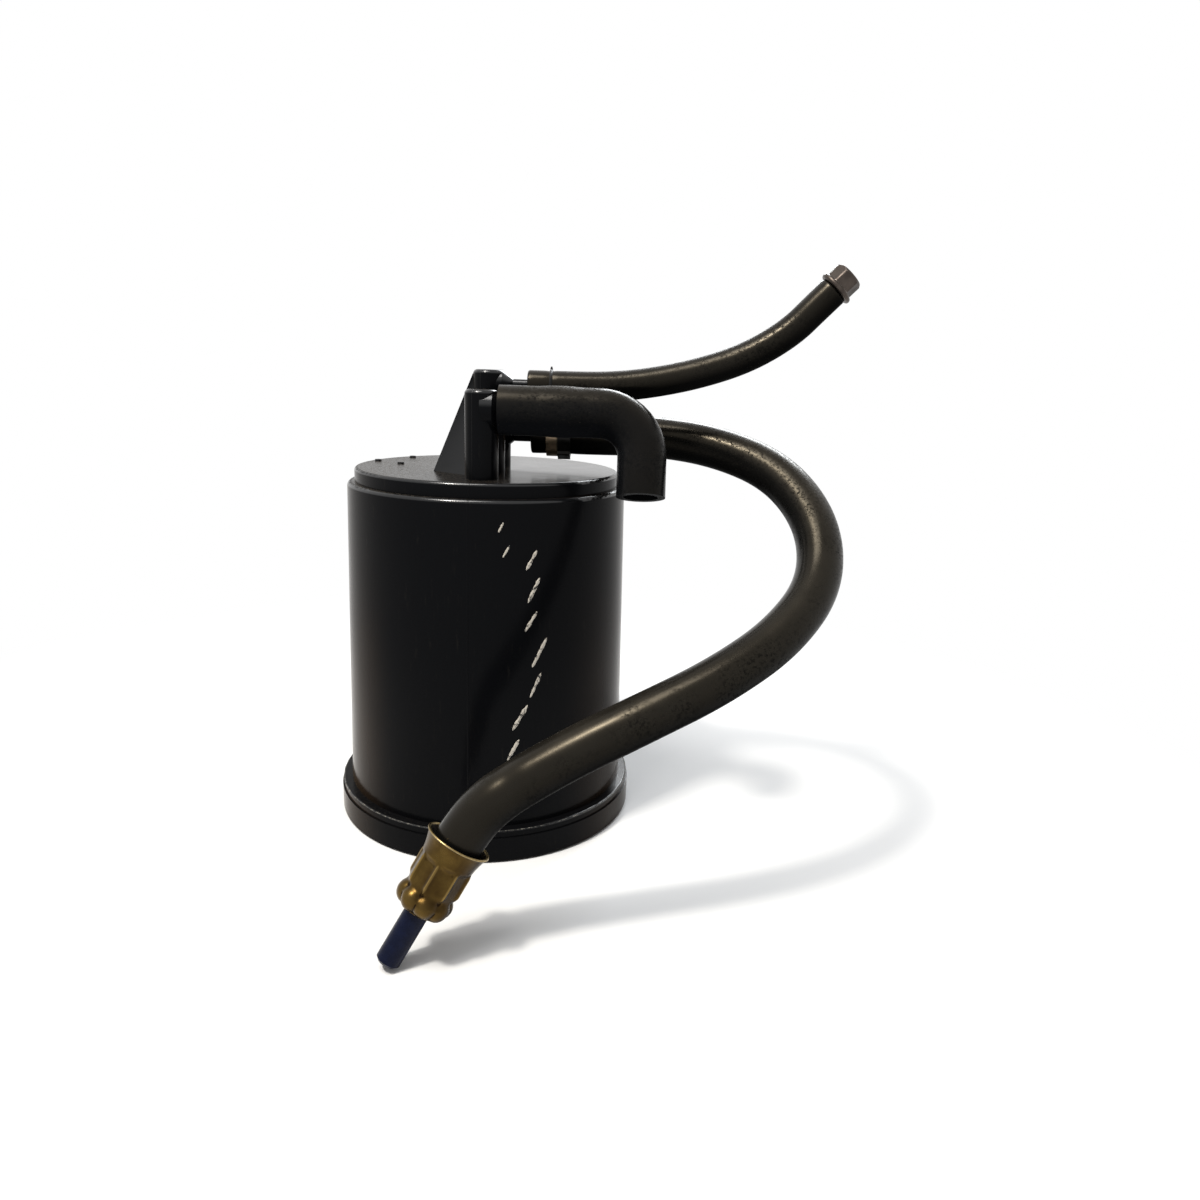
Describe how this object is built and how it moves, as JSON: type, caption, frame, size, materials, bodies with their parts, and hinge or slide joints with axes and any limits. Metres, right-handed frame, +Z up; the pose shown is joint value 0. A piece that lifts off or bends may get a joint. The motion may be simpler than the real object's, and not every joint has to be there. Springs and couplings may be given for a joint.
{
  "type": "evaporative emissions canister",
  "caption": "Upright round charcoal canister that traps fuel vapour, with a stepped lid, a tower of hose ports, a vent elbow, a looped tank hose and a plugged purge hose.",
  "frame": {"origin": "centre of the base cover's flat bottom face, on the canister's axis", "axes": "+Z up along the canister's axis, +X the way the three ports point"},
  "size_m": [0.1971, 0.1868, 0.2206],
  "materials": {
    "body_plastic": "glossy black moulded nylon with fine scuffs",
    "filter_fleece": "grey needle felt",
    "carbon_pellets": "black pelletised carbon",
    "plate_plastic": "plain moulded plastic",
    "spring_steel": "drawn spring wire",
    "elbow_rubber": "satin moulded rubber",
    "hose_rubber": "satin hose rubber with dust",
    "clamp_steel": "dull rolled band steel",
    "clip_wire": "blackened wire",
    "ferrule_brass": "yellow passivated crimp sleeve",
    "stub_blue": "dark blue plastic",
    "plug_steel": "dull oxidised steel"
  },
  "bodies": {
    "root": {"canister_body": "body_plastic", "base_cover": "body_plastic", "main_upper_filter": "filter_fleece", "vent_upper_filter": "filter_fleece", "main_lower_filter": "filter_fleece", "vent_lower_filter": "filter_fleece", "main_carbon_bed": "carbon_pellets", "vent_carbon_bed": "carbon_pellets", "main_retainer_plate": "plate_plastic", "vent_retainer_plate": "plate_plastic", "main_spring": "spring_steel", "vent_spring": "spring_steel", "vent_elbow": "elbow_rubber", "tank_hose": "hose_rubber", "purge_hose": "hose_rubber", "tank_hose_clamp": "clamp_steel", "purge_hose_clip": "clip_wire", "hose_ferrule": "ferrule_brass", "pipe_stub": "stub_blue", "purge_plug": "plug_steel"}
  },
  "joints": []
}
